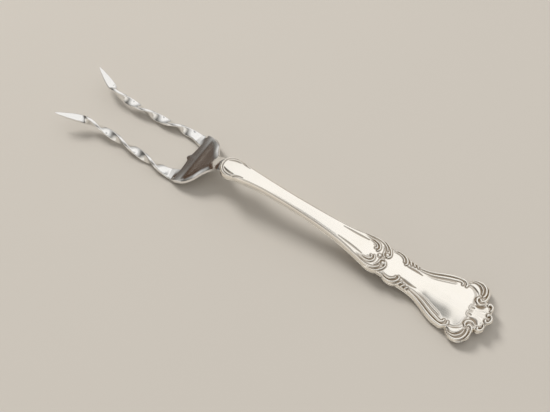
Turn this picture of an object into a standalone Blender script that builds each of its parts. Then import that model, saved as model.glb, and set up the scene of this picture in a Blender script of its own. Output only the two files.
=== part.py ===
"""Potato fork: a two-tine steel head with twisted tines, its tang cemented into a hollow silver handle.

The handle is two struck half shells with a reeded border, soldered edge to edge over a cement core.
Sizes are in millimetres and become metres as each mesh is made. X runs from the butt of the handle to
the tips of the tines, Y across the fork and Z up from the table that the fork lies on.
"""

import bmesh
import bpy
import numpy as np

MM = 0.001

# Driving dimensions of the whole fork
LENGTH = 180.0
MOUTH_X = 107.7
CROTCH_X = 124.9
FLARE_X = 170.3
WALL = 0.55
SEAM_GAP = 0.30
SOLDER_THICK = 0.18
SOLDER_MARGIN = 0.04
REST_LAND_Z = 0.0

# Side view of the handle: height of the seam above the table, and rise of each half shell above the seam
SEAM_HEIGHT = [(0, 3.9), (4, 2.9), (9, 2.05), (16, 1.65), (24, 1.95), (34, 3.5), (44, 5.5), (60, 8.1),
               (78, 10.4), (94, 11.6), (103, 11.15), (110, 10.45)]
SHELL_RISE = [(0, 0.4), (0.6, 0.85), (1.6, 1.15), (5, 1.45), (15, 1.65), (30, 1.75), (44, 1.65), (60, 1.8),
              (80, 1.85), (95, 1.95), (104, 2.15), (107.5, 2.2), (109.6, 2.0)]
CROWN_POWER = 2.4

# Plan of the handle: round lobes (x, y, radius) at the butt, ovals (x, y, half length, half width) at the
# waist and the nose, and a smooth line for the rest
TIP_LOBE = (2.2, 0.0, 2.2)
SIDE_LOBE = (3.0, 4.3, 1.7)
CORNER_SCROLL = (8.6, 8.0, 4.4)
REED_END = (14.7, 8.5, 2.0)
PANEL_SCROLL = (36.5, 3.5, 4.1, 3.05)
CLUSTER_SCROLL = (44.6, 3.5, 4.7, 3.05)
NOSE = (105.0, 0.0, 4.5, 4.7)
FIDDLE_LINE = [(2.5, 2.5), (8, 7.5), (13, 9.6), (15.5, 10.3), (18, 9.95), (21, 8.8), (25, 6.85), (28, 5.85),
               (31, 5.6), (36, 5.6), (41, 5.7), (45, 6.3), (48.5, 5.8), (54, 4.65), (61, 3.65), (70, 3.0),
               (80, 2.75), (88, 2.85), (95, 3.25), (100, 3.8), (103, 4.15), (109, 2.5)]
NOSE_START_X = 102.0
BUTT_START_X = 0.05

# Runs along the handle (from, to, count) that set where the shells are drawn, closest at lobes and scrolls
HANDLE_RUNS = [(BUTT_START_X, 1.2, 5), (1.2, 5.0, 10), (5.0, 12.2, 10), (12.2, 17.0, 7), (17.0, 32.0, 9),
               (32.0, 47.0, 15), (47.0, 100.0, 13), (100.0, MOUTH_X, 8)]

# Border of two reeds: its width along the handle, and where its crests and grooves lie in that width
BORDER_WIDTH = [(0, 1.6), (8, 2.2), (16, 2.5), (28, 1.9), (44, 2.1), (60, 1.25), (80, 0.95), (96, 1.15),
                (109, 1.5)]
BORDER_COLUMNS = [0.0, 0.10, 0.34, 0.52, 0.74, 1.0]
BORDER_RELIEF = [0.0, 0.10, 0.34, 0.02, 0.24, 0.0]
BORDER_LIMIT = 0.62
FULL_RELIEF_RISE = 1.6
PANEL_COLUMNS = [0.72, 0.38, 0.0]
HOLLOW_COLUMNS = [1.0, 0.88, 0.5, 0.0, -0.5, -0.88, -1.0]
HOLLOW_STEPS = [3, 3, 2, 2, 3, 3]

# Cement core and the socket in it for the tang
CORE_START_X = 1.2
CORE_END_X = 101.5
CORE_CLEARANCE = 0.12
CORE_EDGE = 0.2
TANG_CLEARANCE = 0.15

# Head: height of its middle line, half width and half thickness from the tang to the crotch
TANG_END_X = 74.0
NECK_START_X = 102.0
NECK_BEND_X = 107.5
NECK_END_X = 112.0
HEAD_RUNS = [(TANG_END_X, NECK_START_X, 6), (NECK_START_X, NECK_END_X, 7), (NECK_END_X, CROTCH_X, 12)]
HEAD_HEIGHT = [(NECK_BEND_X, 10.72), (109.5, 10.4), (111, 9.5), (113, 8.1), (115, 6.7), (118, 4.6), (120, 3.35),
               (122, 2.2), (124, 1.3), (126, 0.8), (128, 0.7)]
HEAD_HALF_WIDTH = [(74, 1.2), (90, 1.45), (101, 1.7), (104, 2.4), (107.5, 2.95), (111, 3.1), (113, 3.6),
                   (115, 5.5), (117.3, 9.1), (120, 11.1), (122.5, 11.8), (125, 12.0), (128, 11.8)]
HEAD_HALF_THICK = [(74, 0.7), (101, 1.0), (107.5, 1.15), (109.5, 1.2), (112, 1.35), (115, 1.25), (119, 1.0),
                   (126, 0.8)]
EDGE_ROUNDNESS = [(74, 9.0), (101, 7.0), (105, 2.6), (112, 2.3), (116, 6.0), (120, 16.0), (128, 16.0)]
EDGE_HEIGHT = 0.4
DISH_DEPTH = [(113, 0.0), (117, 0.25), (121, 0.45), (128, 0.5)]
CROTCH_EDGE = [(0.0, 1.4), (0.8, 0.7), (2.3, 0.0), (4.6, -0.3), (6.6, -0.4)]
CROTCH_REACH_X = 119.0
TINE_ROOT_INNER = 6.6

# Tines: path of the strip's middle, its width and thickness, and its turn about that path
TINE_SIDEWAYS = [(126, 9.3), (130, 9.75), (137, 9.4), (145, 8.7), (159, 8.2), (166.5, 8.35), (FLARE_X, 9.4),
                 (LENGTH, 13.6)]
TINE_HEIGHT = [(126, 1.4), (129, 1.75), (137, 1.8), (144, 1.9), (151.5, 2.4), (159, 3.1), (169, 4.7),
               (LENGTH, 6.7)]
TINE_WIDTH = [(126, 5.1), (128, 4.3), (131, 3.65), (137, 3.4), (150, 3.3), (169, 3.2), (171.5, 3.35), (176, 1.9),
              (LENGTH, 0.35)]
TINE_THICK = [(126, 1.6), (132, 1.4), (140, 1.3), (171, 1.25), (LENGTH, 0.5)]
TINE_TURN = [(126, 4.0), (130, 12.0), (137.2, 90.0), (144.4, 180.0), (151.7, 270.0), (159, 360.0), (166, 450.0),
             (FLARE_X, 540.0), (LENGTH, 540.0)]
TINE_RUNS = [(127.4, 165.8, 33), (165.8, 171.5, 8), (171.5, LENGTH, 4)]
TINE_COLUMNS = [0.0, 0.14, 0.5, 0.86, 1.0]
TINE_CORNER = 0.55
SLOPE_STEP = 0.05
SMOOTH_ANGLE = 40.0


def smooth_line(points):
    """A smooth curve through the points that never overshoots them, as a function of the first coordinate."""
    x, y = np.array(points, float).T
    gap = np.diff(x)
    slope = np.diff(y) / gap
    tangent = np.zeros(len(x))
    tangent[0], tangent[-1] = slope[0], slope[-1]
    rising = slope[:-1] * slope[1:] > 0
    weight_a = 2 * gap[1:] + gap[:-1]
    weight_b = gap[1:] + 2 * gap[:-1]
    safe_a = np.where(rising, slope[:-1], 1.0)
    safe_b = np.where(rising, slope[1:], 1.0)
    harmonic = (weight_a + weight_b) / (weight_a / safe_a + weight_b / safe_b)
    tangent[1:-1] = np.where(rising, harmonic, 0.0)

    def value(at):
        at = np.clip(np.asarray(at, float), x[0], x[-1])
        i = np.clip(np.searchsorted(x, at) - 1, 0, len(gap) - 1)
        t = (at - x[i]) / gap[i]
        low = y[i] * (1 + 2 * t) * (1 - t) ** 2 + gap[i] * tangent[i] * t * (1 - t) ** 2
        high = y[i + 1] * t * t * (3 - 2 * t) + gap[i] * tangent[i + 1] * t * t * (t - 1)
        return low + high

    return value


def oval_edge(x, centre_x, centre_y, half_length, half_width):
    """Outer edge of an oval in plan, or zero beyond its ends."""
    share = 1 - ((x - centre_x) / half_length) ** 2
    return np.where(share > 0, centre_y + half_width * np.sqrt(np.maximum(share, 0)), 0.0)


def lobe_edge(x, lobe):
    return oval_edge(x, lobe[0], lobe[1], lobe[2], lobe[2])


seam_height = smooth_line(SEAM_HEIGHT)
shell_rise = smooth_line(SHELL_RISE)
fiddle_line = smooth_line(FIDDLE_LINE)
border_width = smooth_line(BORDER_WIDTH)


def half_width(x):
    """Half width of the handle: the smooth line with the lobes and scrolls standing out of it."""
    x = np.asarray(x, float)
    plain = np.where((x >= FIDDLE_LINE[0][0]) & (x <= NOSE[0]), fiddle_line(x), 0.0)
    lobes = [lobe_edge(x, lobe) for lobe in (TIP_LOBE, SIDE_LOBE, CORNER_SCROLL, REED_END)]
    ovals = [oval_edge(x, *oval) for oval in (PANEL_SCROLL, CLUSTER_SCROLL, NOSE)]
    return np.maximum.reduce([plain, *lobes, *ovals])


def crown(share):
    """Height of the shell across the handle, from 1 in the middle to 0 at the seam."""
    return np.sqrt(np.maximum(1 - np.abs(share) ** CROWN_POWER, 0.0))


def nose_forward(x, share):
    """How far the rounded nose runs ahead of its sides, at a share of the half width."""
    reach = np.clip((x - NOSE_START_X) / (MOUTH_X - NOSE_START_X), 0, 1) ** 2
    across = share * half_width(MOUTH_X) / NOSE[3]
    front = np.sqrt(1 - across ** 2) * NOSE[2]
    return reach * (front - (MOUTH_X - NOSE[0]))


def stations(runs):
    """Places along X from runs of (from, to, count), with the end of the last run."""
    starts = [np.linspace(a, b, count, endpoint=False) for a, b, count in runs]
    return np.concatenate([*starts, [runs[-1][1]]])


def handle_stations():
    """Places along the handle where the shells are drawn, closer together round the lobes and scrolls."""
    return stations(HANDLE_RUNS)


def hollow_stations():
    """The same number of places for the hollow, which starts one wall in from the butt."""
    x = handle_stations()
    return WALL + (x - x[0]) * (MOUTH_X - WALL) / (MOUTH_X - x[0])


def new_object(name, points, faces, material, parent):
    """A named mesh object with its faces turned outwards, from points in millimetres."""
    mesh = bpy.data.meshes.new(name)
    mesh.from_pydata([tuple(p) for p in np.asarray(points) * MM], [], faces)
    shape = bmesh.new()
    shape.from_mesh(mesh)
    bmesh.ops.recalc_face_normals(shape, faces=shape.faces)
    shape.to_mesh(mesh)
    shape.free()
    mesh.materials.append(material)
    mesh.shade_smooth()
    mesh.set_sharp_from_angle(angle=np.radians(SMOOTH_ANGLE))
    made = bpy.data.objects.new(name, mesh)
    bpy.context.scene.collection.objects.link(made)
    made.parent = parent
    return made


def metal(name, colour, roughness, metallic=1.0):
    made = bpy.data.materials.new(name)
    made.use_nodes = True
    shader = made.node_tree.nodes["Principled BSDF"]
    shader.inputs["Base Color"].default_value = (*colour, 1.0)
    shader.inputs["Roughness"].default_value = roughness
    shader.inputs["Metallic"].default_value = metallic
    return made


class Grid:
    """Points kept in named rows and columns, with faces laid between them."""

    def __init__(self):
        self.points = []
        self.faces = []

    def add_rows(self, rows):
        """Takes an array of rows by columns by 3, and returns the numbers of its points."""
        rows = np.asarray(rows, float)
        first = len(self.points)
        self.points += list(rows.reshape(-1, 3))
        return first + np.arange(rows.shape[0] * rows.shape[1]).reshape(rows.shape[:2])

    def sheet(self, numbers):
        for a, b in zip(numbers[:-1], numbers[1:]):
            for j in range(len(a) - 1):
                self.faces.append((a[j], a[j + 1], b[j + 1], b[j]))

    def strip(self, one, other):
        """Faces between two lines of the same count."""
        self.sheet(np.array([one, other]))

    def join(self, many, few, steps):
        """Faces between a line of many points and one of few, each few-step taking that many many-steps."""
        at = 0
        for k, step in enumerate(steps):
            self.faces.append((*many[at:at + step + 1], few[k + 1], few[k]))
            at += step


def outer_rows(side):
    """Outer face of a half shell: side 1 is the front, -1 the back."""
    rows = []
    for x in handle_stations():
        w = half_width(x)
        band = min(border_width(x), BORDER_LIMIT * w)
        half = [w - band * c for c in BORDER_COLUMNS] + [(w - band) * c for c in PANEL_COLUMNS]
        half_relief = BORDER_RELIEF + [0.0] * len(PANEL_COLUMNS)
        y = np.array(half + [-c for c in half[-2::-1]])
        relief = np.array(half_relief + half_relief[-2::-1])
        along = x + nose_forward(x, y / w)
        rise = shell_rise(along)
        up = SEAM_GAP / 2 + rise * crown(y / w) + relief * np.minimum(1.0, rise / FULL_RELIEF_RISE)
        z = np.maximum(seam_height(along) + side * up, REST_LAND_Z)
        rows.append(np.stack([along, y, z], axis=-1))
    return np.array(rows)


def hollow_rows(side, clearance, base):
    """Face of the hollow, or of the core in it, this far inside the outer face."""
    rows = []
    share = np.array(HOLLOW_COLUMNS)
    for x in hollow_stations():
        along = x + nose_forward(x, share)
        rise = shell_rise(along) - clearance
        z = seam_height(along) + side * (base + rise * crown(share))
        rows.append(np.stack([along, (half_width(x) - clearance) * share, z], axis=-1))
    return np.array(rows)


def half_shell(name, side, material, parent):
    """One struck half of the handle: reeded outside, plain inside, open at the seam and at the mouth."""
    grid = Grid()
    outer = grid.add_rows(outer_rows(side))
    inner = grid.add_rows(hollow_rows(side, WALL, SEAM_GAP / 2))
    grid.sheet(outer)
    grid.sheet(inner)
    for edge in (0, -1):
        grid.strip(outer[:, edge], inner[:, edge])
        grid.join(outer[edge], inner[edge], HOLLOW_STEPS)
    return new_object(name, grid.points, grid.faces, material, parent)


def solder_line(material, parent):
    """The solder between the two halves: a flat ribbon along both edges and round the butt."""
    x_out, x_in = handle_stations(), hollow_stations()
    outer = np.stack([x_out, half_width(x_out) - SOLDER_MARGIN, seam_height(x_out)], axis=-1)
    inner = np.stack([x_in, half_width(x_in) - WALL + SOLDER_MARGIN, seam_height(x_in)], axis=-1)
    mirror = np.array([1, -1, 1])
    outer = np.concatenate([outer[::-1], outer * mirror])
    inner = np.concatenate([inner[::-1], inner * mirror])
    thick = np.array([0, 0, SOLDER_THICK / 2])
    grid = Grid()
    lines = grid.add_rows([outer + thick, outer - thick, inner - thick, inner + thick])
    for k in range(len(lines)):
        grid.strip(lines[k - 1], lines[k])
    for end in (0, -1):
        grid.faces.append(tuple(lines[:, end]))
    return new_object("seam_solder", grid.points, grid.faces, material, parent)


head_height = smooth_line(HEAD_HEIGHT)
head_half_width = smooth_line(HEAD_HALF_WIDTH)
head_half_thick = smooth_line(HEAD_HALF_THICK)
edge_roundness = smooth_line(EDGE_ROUNDNESS)
dish_depth = smooth_line(DISH_DEPTH)
crotch_edge = smooth_line(CROTCH_EDGE)
tine_sideways = smooth_line(TINE_SIDEWAYS)
tine_height = smooth_line(TINE_HEIGHT)
tine_width = smooth_line(TINE_WIDTH)
tine_thick = smooth_line(TINE_THICK)
tine_turn = smooth_line(TINE_TURN)


def head_middle(x):
    """Height of the head's middle line: along the handle's seam in the tang, then down to the crotch."""
    return np.where(x < NECK_BEND_X, seam_height(x), head_height(x))


def head_columns():
    """Places across the head as shares of its half width, with the columns of each tine at the edges."""
    inner_share = TINE_ROOT_INNER / head_half_width(CROTCH_X)
    middle = [inner_share * y / TINE_ROOT_INNER for y, _ in CROTCH_EDGE[:-1]]
    tine = [inner_share + (1 - inner_share) * c for c in TINE_COLUMNS]
    half = middle + tine
    return np.array([-v for v in half[:0:-1]] + half)


def head_stations():
    return stations(HEAD_RUNS)


def head_rows(x_stations, columns, grow=0.0):
    """Upper and lower faces of the head from the tang to the crotch, grown outwards by an even amount."""
    upper, lower = [], []
    for x in x_stations:
        slope = (head_middle(x + SLOPE_STEP) - head_middle(x - SLOPE_STEP)) / (2 * SLOPE_STEP)
        normal = np.array([-slope, 0, 1]) / np.hypot(slope, 1)
        reach = np.clip((x - CROTCH_REACH_X) / (CROTCH_X - CROTCH_REACH_X), 0, 1) ** 2
        y = columns * (head_half_width(x) + grow)
        forward = reach * crotch_edge(np.minimum(np.abs(y), TINE_ROOT_INNER))
        edge = np.sqrt(np.maximum(1 - np.abs(columns) ** edge_roundness(x), EDGE_HEIGHT ** 2))
        dish = dish_depth(x) * columns ** 2
        middle = np.stack([x + forward, y, head_middle(x + forward) + dish], axis=-1)
        offset = (head_half_thick(x) * edge + grow)[:, None] * normal
        upper.append(middle + offset)
        lower.append(middle - offset)
    return np.array(upper), np.array(lower)


def tine_path(x, side):
    return np.array([x, side * tine_sideways(x), tine_height(x)])


def tine_rows(side):
    """Upper and lower faces of one tine past the crotch: a flat strip turned about its own path."""
    share = np.array(TINE_COLUMNS) - 0.5
    corner = np.where(np.abs(share) == 0.5, TINE_CORNER, 1.0)
    upper, lower = [], []
    for at in stations(TINE_RUNS):
        tangent = tine_path(at + SLOPE_STEP, side) - tine_path(at - SLOPE_STEP, side)
        tangent /= np.linalg.norm(tangent)
        sideways = np.cross((0, 0, 1), tangent)
        sideways /= np.linalg.norm(sideways)
        upward = np.cross(tangent, sideways)
        out = side * sideways
        turn = np.radians(tine_turn(at))
        wide = np.cos(turn) * out + np.sin(turn) * upward
        thick = np.cos(turn) * upward - np.sin(turn) * out
        middle = tine_path(at, side) + np.outer(share * tine_width(at), wide)
        offset = np.outer(corner * tine_thick(at) / 2, thick)
        upper.append(middle + offset)
        lower.append(middle - offset)
    return np.array(upper), np.array(lower)


def fork_head(material, parent):
    """Head in one piece: tang, neck, dished root and two tines that part at the crotch."""
    columns = head_columns()
    grid = Grid()
    body_top, body_under = head_rows(head_stations(), columns)
    body_top[:, :, 2] = np.maximum(body_top[:, :, 2], REST_LAND_Z)
    body_under[:, :, 2] = np.maximum(body_under[:, :, 2], REST_LAND_Z)
    top, under = grid.add_rows(body_top), grid.add_rows(body_under)
    grid.sheet(top)
    grid.sheet(under)
    for edge in (0, -1):
        grid.strip(top[:, edge], under[:, edge])
    grid.strip(top[0], under[0])
    count = len(TINE_COLUMNS)
    last = len(columns) - 1
    grid.strip(top[-1][count - 1:last - count + 2], under[-1][count - 1:last - count + 2])
    for side in (1, -1):
        root = slice(last - count + 1, last + 1) if side > 0 else slice(count - 1, None, -1)
        tine_top, tine_under = (grid.add_rows(rows) for rows in tine_rows(side))
        tine_top = np.vstack([top[-1][root], tine_top])
        tine_under = np.vstack([under[-1][root], tine_under])
        grid.sheet(tine_top)
        grid.sheet(tine_under)
        for edge in (0, -1):
            grid.strip(tine_top[:, edge], tine_under[:, edge])
        grid.strip(tine_top[-1], tine_under[-1])
    return new_object("fork_head", grid.points, grid.faces, material, parent)


def closed_loft(name, upper, lower, material, parent):
    """A solid between an upper and a lower face, walled at the sides and capped at the ends."""
    grid = Grid()
    top, under = grid.add_rows(upper), grid.add_rows(lower)
    grid.sheet(top)
    grid.sheet(under)
    for edge in (0, -1):
        grid.strip(top[:, edge], under[:, edge])
        grid.strip(top[edge], under[edge])
    return new_object(name, grid.points, grid.faces, material, parent)


def cement_core(material, parent):
    """Cement that fills the hollow nearly to the nose, with a socket that grips the tang."""
    clearance = WALL + CORE_CLEARANCE
    x = hollow_stations()
    keep = (x > CORE_START_X) & (x < CORE_END_X)
    upper, lower = (hollow_rows(side, clearance, CORE_EDGE / 2)[keep] for side in (1, -1))
    core = closed_loft("handle_cement", upper, lower, material, parent)
    socket_x = head_stations()
    socket_x = socket_x[socket_x <= NECK_START_X]
    socket_x[0] -= TANG_CLEARANCE
    faces = head_rows(socket_x, head_columns(), TANG_CLEARANCE)
    socket = closed_loft("tang_socket_cutter", *faces, material, parent)
    socket.hide_render = True
    socket.display_type = "WIRE"
    cut = core.modifiers.new("tang_socket", "BOOLEAN")
    cut.operation = "DIFFERENCE"
    cut.object = socket
    return core


def main():
    for old in list(bpy.data.objects):
        bpy.data.objects.remove(old)
    fork = bpy.data.objects.new("potato_fork", None)
    fork.location = (-LENGTH / 2 * MM, 0, 0)
    bpy.context.scene.collection.objects.link(fork)
    silver = metal("polished_silver", (0.90, 0.87, 0.82), 0.14)
    steel = metal("polished_steel", (0.74, 0.74, 0.75), 0.12)
    solder = metal("silver_solder", (0.80, 0.78, 0.73), 0.25)
    cement = metal("handle_cement", (0.42, 0.36, 0.29), 0.9, metallic=0.0)
    half_shell("handle_front_shell", 1, silver, fork)
    half_shell("handle_back_shell", -1, silver, fork)
    solder_line(solder, fork)
    cement_core(cement, fork)
    fork_head(steel, fork)


main()
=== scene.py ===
"""Looks of the potato fork: struck silver half shells, a steel head with twisted tines, and a plain stage.

Plan sizes are in millimetres from the butt of the handle, with X along the fork and Y across it. They become
metres in the frame of the packed model as each mesh is made.
"""

import math

import bmesh
import bpy
import numpy as np
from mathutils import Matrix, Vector
from mathutils.geometry import delaunay_2d_cdt
from mathutils.kdtree import KDTree


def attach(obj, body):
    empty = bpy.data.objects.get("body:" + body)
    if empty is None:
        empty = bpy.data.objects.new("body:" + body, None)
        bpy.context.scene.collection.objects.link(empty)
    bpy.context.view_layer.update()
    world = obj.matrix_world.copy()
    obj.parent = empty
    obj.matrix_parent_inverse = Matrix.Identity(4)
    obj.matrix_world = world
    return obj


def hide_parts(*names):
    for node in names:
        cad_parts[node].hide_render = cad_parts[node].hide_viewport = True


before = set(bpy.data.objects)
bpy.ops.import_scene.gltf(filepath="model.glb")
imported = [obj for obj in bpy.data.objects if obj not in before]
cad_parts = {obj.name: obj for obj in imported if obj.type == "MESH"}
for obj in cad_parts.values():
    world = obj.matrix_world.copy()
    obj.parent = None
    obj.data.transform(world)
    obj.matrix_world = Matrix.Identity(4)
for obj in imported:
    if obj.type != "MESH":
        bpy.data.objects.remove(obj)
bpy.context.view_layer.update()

bl_info = {
    "name": "Potato Fork",
    "version": (1, 0, 0),
    "blender": (4, 5, 0),
    "location": "View3D > Sidebar > Fork",
    "description": "Builds a two-tine potato fork with a struck silver handle",
    "category": "Add Mesh",
}

MM = 0.001
BUTT_X = -90.0


def smooth_line(points):
    """A smooth curve through the points that never overshoots them, as a function of x."""
    x, y = np.array(points, float).T
    gap = np.diff(x)
    slope = np.diff(y) / gap
    tangent = np.concatenate([slope[:1], np.zeros(len(x) - 2), slope[-1:]])
    rising = slope[:-1] * slope[1:] > 0
    weight_a = 2 * gap[1:] + gap[:-1]
    weight_b = gap[1:] + 2 * gap[:-1]
    safe_a = np.where(rising, slope[:-1], 1.0)
    safe_b = np.where(rising, slope[1:], 1.0)
    harmonic = (weight_a + weight_b) / (weight_a / safe_a + weight_b / safe_b)
    tangent[1:-1] = np.where(rising, harmonic, 0.0)

    def value(at):
        at = np.clip(np.asarray(at, float), x[0], x[-1])
        i = np.clip(np.searchsorted(x, at) - 1, 0, len(gap) - 1)
        t = (at - x[i]) / gap[i]
        low = y[i] * (1 + 2 * t) * (1 - t) ** 2 + gap[i] * tangent[i] * t * (1 - t) ** 2
        high = y[i + 1] * t * t * (3 - 2 * t) + gap[i] * tangent[i + 1] * t * t * (t - 1)
        return low + high

    return value


# Side view of the handle: height of the seam over the floor, rise of each half shell over the seam, share of
# the edge roll, and flatness of the crown
seam_height = smooth_line([
    (0, 3.9), (4, 2.9), (9, 2.05), (16, 1.65), (24, 1.95), (34, 3.5), (44, 5.5), (60, 8.1), (78, 10.4),
    (94, 11.6), (103, 11.15), (110, 10.45),
])
shell_rise = smooth_line([
    (0, 0.7), (2, 1.1), (5, 1.4), (15, 1.65), (30, 1.75), (44, 1.65), (60, 1.8), (80, 1.85), (95, 1.95),
    (104, 2.1), (107.5, 2.1), (109.6, 1.95),
])
edge_roll_share = smooth_line([(0, 1.0), (46, 1.0), (54, 1.7), (96, 1.7), (104, 1.0)])
crown_power = smooth_line([(0, 2.4), (38, 2.6), (50, 5.0), (56, 6.5), (96, 6.5), (104, 3.0), (109.6, 2.4)])

# Plan of the handle: lobes and scrolls (x, y, half length, half width) that stand out of a smooth line, and
# the half width that the crown is rounded over
LOBES = [(2.2, 0.0, 2.2, 2.2), (3.0, 4.3, 1.7, 1.7), (8.6, 8.0, 4.4, 4.4), (14.7, 8.5, 2.0, 2.0),
         (36.5, 3.5, 4.1, 3.05), (44.6, 3.5, 4.7, 3.05), (105.0, 0.0, 4.5, 4.7)]
fiddle_line = smooth_line([
    (2.5, 2.5), (8, 7.5), (13, 9.6), (15.5, 10.3), (18, 9.95), (21, 8.8), (25, 6.85), (28, 5.85), (31, 5.6),
    (36, 5.6), (41, 5.7), (45, 6.3), (48.5, 5.8), (54, 4.65), (61, 3.65), (70, 3.0), (80, 2.75), (88, 2.85),
    (95, 3.25), (100, 3.8), (103, 4.15), (105, 4.5),
])
crown_width = smooth_line([
    (0, 4.5), (2, 7.5), (4, 9.5), (6, 11.2), (8.6, 12.5), (11, 12.3), (13, 11.3), (15.5, 10.6), (18, 10.1),
    (21, 8.9), (25, 7.0), (28, 6.1), (31, 5.9), (34, 6.3), (36.5, 6.6), (39, 6.4), (41.5, 6.3), (44.6, 6.6),
    (48.5, 6.0), (54, 4.95), (61, 4.0), (70, 3.35), (80, 3.1), (88, 3.2), (95, 3.6), (100, 4.1),
    (103, 4.45), (105, 4.75), (107.7, 4.5), (109.6, 4.2),
])
FIDDLE_START_X = 2.5
FIDDLE_END_X = 105.0
NOSE_END_X = 109.5
MOUTH_X = 107.7

# Ornament of half the handle. A ridge is a path in plan, its half widths along the path, and its height.
# A bead is its middle, radius and height
CORNER_SCROLL = [
    ([(7.25, 6.15), (7.75, 5.3), (7.6, 4.4), (7.0, 3.75), (6.2, 3.5), (5.4, 3.75), (4.8, 4.35)],
     [0.36, 0.5, 0.54, 0.52, 0.48, 0.42, 0.25], 0.48),
    ([(6.0, 11.0), (5.25, 10.0), (4.85, 8.8), (4.75, 7.6), (4.85, 6.5), (5.25, 5.55), (5.85, 5.05),
      (6.45, 5.1), (6.7, 5.55)], [0.2, 0.36, 0.42, 0.45, 0.46, 0.46, 0.46, 0.42], 0.46),
    ([(12.9, 10.8), (11.5, 11.45), (10.0, 11.8), (8.6, 11.8), (7.4, 11.25), (6.55, 10.4), (6.05, 9.3),
      (5.85, 8.2), (5.95, 7.3), (6.25, 6.7)], [0.35, 0.5, 0.54, 0.52, 0.5, 0.48, 0.44, 0.38], 0.48),
    ([(11.6, 10.6), (10.2, 10.85), (8.9, 10.65), (7.95, 10.0), (7.3, 9.15), (7.0, 8.2), (6.95, 7.4)],
     [0.2, 0.32, 0.36, 0.36, 0.32, 0.26], 0.36),
    ([(11.7, 9.2), (10.6, 9.45), (9.5, 9.1), (8.65, 8.4), (8.05, 7.6), (7.85, 7.0)],
     [0.55, 0.95, 1.0, 0.85, 0.55, 0.35], 0.42),
]
SHELL_FAN = [
    ([(6.9, 0.0), (5.2, 0.0), (3.4, 0.0)], [0.3, 0.55, 0.75], 0.05),
    ([(6.7, 0.8), (5.2, 1.5), (3.6, 2.3)], [0.25, 0.5, 0.65], 0.05),
]
SHELL_HINGE = [
    ([(7.4, 0.3), (8.1, 0.25), (8.6, 0.75), (8.65, 1.5), (8.3, 2.1), (7.6, 2.3)],
     [0.18, 0.26, 0.3, 0.26, 0.18], 0.18),
]
SHELL_RIM = [
    ([(0.7, 0.0), (0.8, 0.85), (1.25, 1.4), (1.85, 1.6), (2.4, 1.25), (2.3, 0.8)],
     [0.52, 0.52, 0.5, 0.48, 0.46], 0.52),
    ([(2.2, 2.8), (1.85, 3.5), (1.95, 4.4), (2.45, 5.05), (3.1, 5.3), (3.65, 4.95), (3.5, 4.5)],
     [0.36, 0.5, 0.54, 0.52, 0.46], 0.52),
]
REEDS = [
    ([(29.2, 5.05), (27.5, 5.35), (25, 6.2), (23, 7.1), (21, 8.05), (19, 8.9), (17, 9.5), (15.4, 9.75),
      (14.1, 9.7), (13.1, 9.15), (12.65, 8.35), (12.75, 7.5)], [0.34, 0.5, 0.62, 0.64, 0.54, 0.46], 0.44),
    ([(28.8, 4.15), (27, 4.35), (25, 4.85), (23, 5.6), (21, 6.5), (19, 7.35), (17, 8.05), (15.8, 8.45),
      (14.85, 8.5), (14.2, 8.05), (14.15, 7.5)], [0.26, 0.42, 0.56, 0.58, 0.46, 0.42], 0.42),
    ([(26.5, 3.45), (25, 3.75), (23, 4.3), (21, 5.05), (19, 5.8), (17, 6.5), (16.2, 6.85), (15.6, 7.0)],
     [0.04, 0.22, 0.34, 0.36, 0.3, 0.04], 0.2),
]
GADROONS = [
    ([(29.75, 4.25), (30.6, 5.4)], [0.36, 0.44], 0.48),
    ([(31.05, 4.1), (31.95, 5.4)], [0.38, 0.46], 0.48),
    ([(32.3, 3.8), (33.35, 5.4)], [0.4, 0.48], 0.48),
]
PANEL_SCROLL = [
    ([(40.0, 5.4), (39.0, 5.75), (37.8, 5.95), (36.4, 5.9), (35.2, 5.45), (34.35, 4.7), (33.85, 3.85),
      (33.75, 3.1), (34.1, 2.65)], [0.28, 0.4, 0.46, 0.44, 0.42], 0.46),
    ([(39.4, 4.65), (38.5, 4.95), (37.5, 5.05), (36.5, 4.85), (35.65, 4.35), (35.1, 3.7), (34.95, 3.2)],
     [0.18, 0.32, 0.36, 0.36, 0.34], 0.38),
]
CLUSTER = [
    ([(54, 4.2), (52, 4.6), (50, 5.0), (48, 5.4), (46.2, 5.6), (44.6, 5.45), (43.2, 4.9), (42.2, 4.1),
      (41.7, 3.3)], [0.05, 0.3, 0.42, 0.44, 0.4, 0.34], 0.44),
    ([(45.4, 6.1), (43.8, 6.05), (42.4, 5.5), (41.3, 4.75), (40.5, 3.9), (40.05, 3.0), (39.85, 2.2),
      (40.05, 1.4), (40.5, 0.85)], [0.1, 0.36, 0.42, 0.4, 0.36, 0.3], 0.44),
    ([(43.4, 3.9), (42.75, 3.1), (42.45, 2.2), (42.4, 1.4), (42.0, 0.75), (41.3, 0.55)],
     [0.16, 0.34, 0.36, 0.3], 0.4),
    ([(49.5, 3.1), (48, 3.35), (46.7, 3.3), (45.8, 2.95), (45.35, 2.35), (45.4, 1.75), (45.9, 1.55)],
     [0.04, 0.24, 0.36, 0.36, 0.36], 0.38),
    ([(51.0, 3.75), (49.4, 4.05), (47.4, 4.25), (45.8, 4.05), (44.75, 3.4), (44.3, 2.5), (44.35, 1.7),
      (44.8, 1.05)], [0.04, 0.28, 0.4, 0.42, 0.38, 0.34], 0.44),
]
NOSE_MOULDING = [
    ([(109.0, 0.0), (108.9, 0.9), (108.6, 1.8), (108.0, 2.7), (107.1, 3.5), (106.0, 3.95), (104.8, 4.1),
      (103.4, 3.9)], [0.5, 0.5, 0.5, 0.48, 0.2], 0.3),
]
RIDGES = [*CORNER_SCROLL, *SHELL_FAN, *SHELL_HINGE, *SHELL_RIM, *REEDS, *GADROONS, *PANEL_SCROLL, *CLUSTER,
          *NOSE_MOULDING]
BEADS = [((43.2, 0.0), 0.8, 0.6), ((41.0, 1.75), 0.82, 0.62)]

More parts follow.
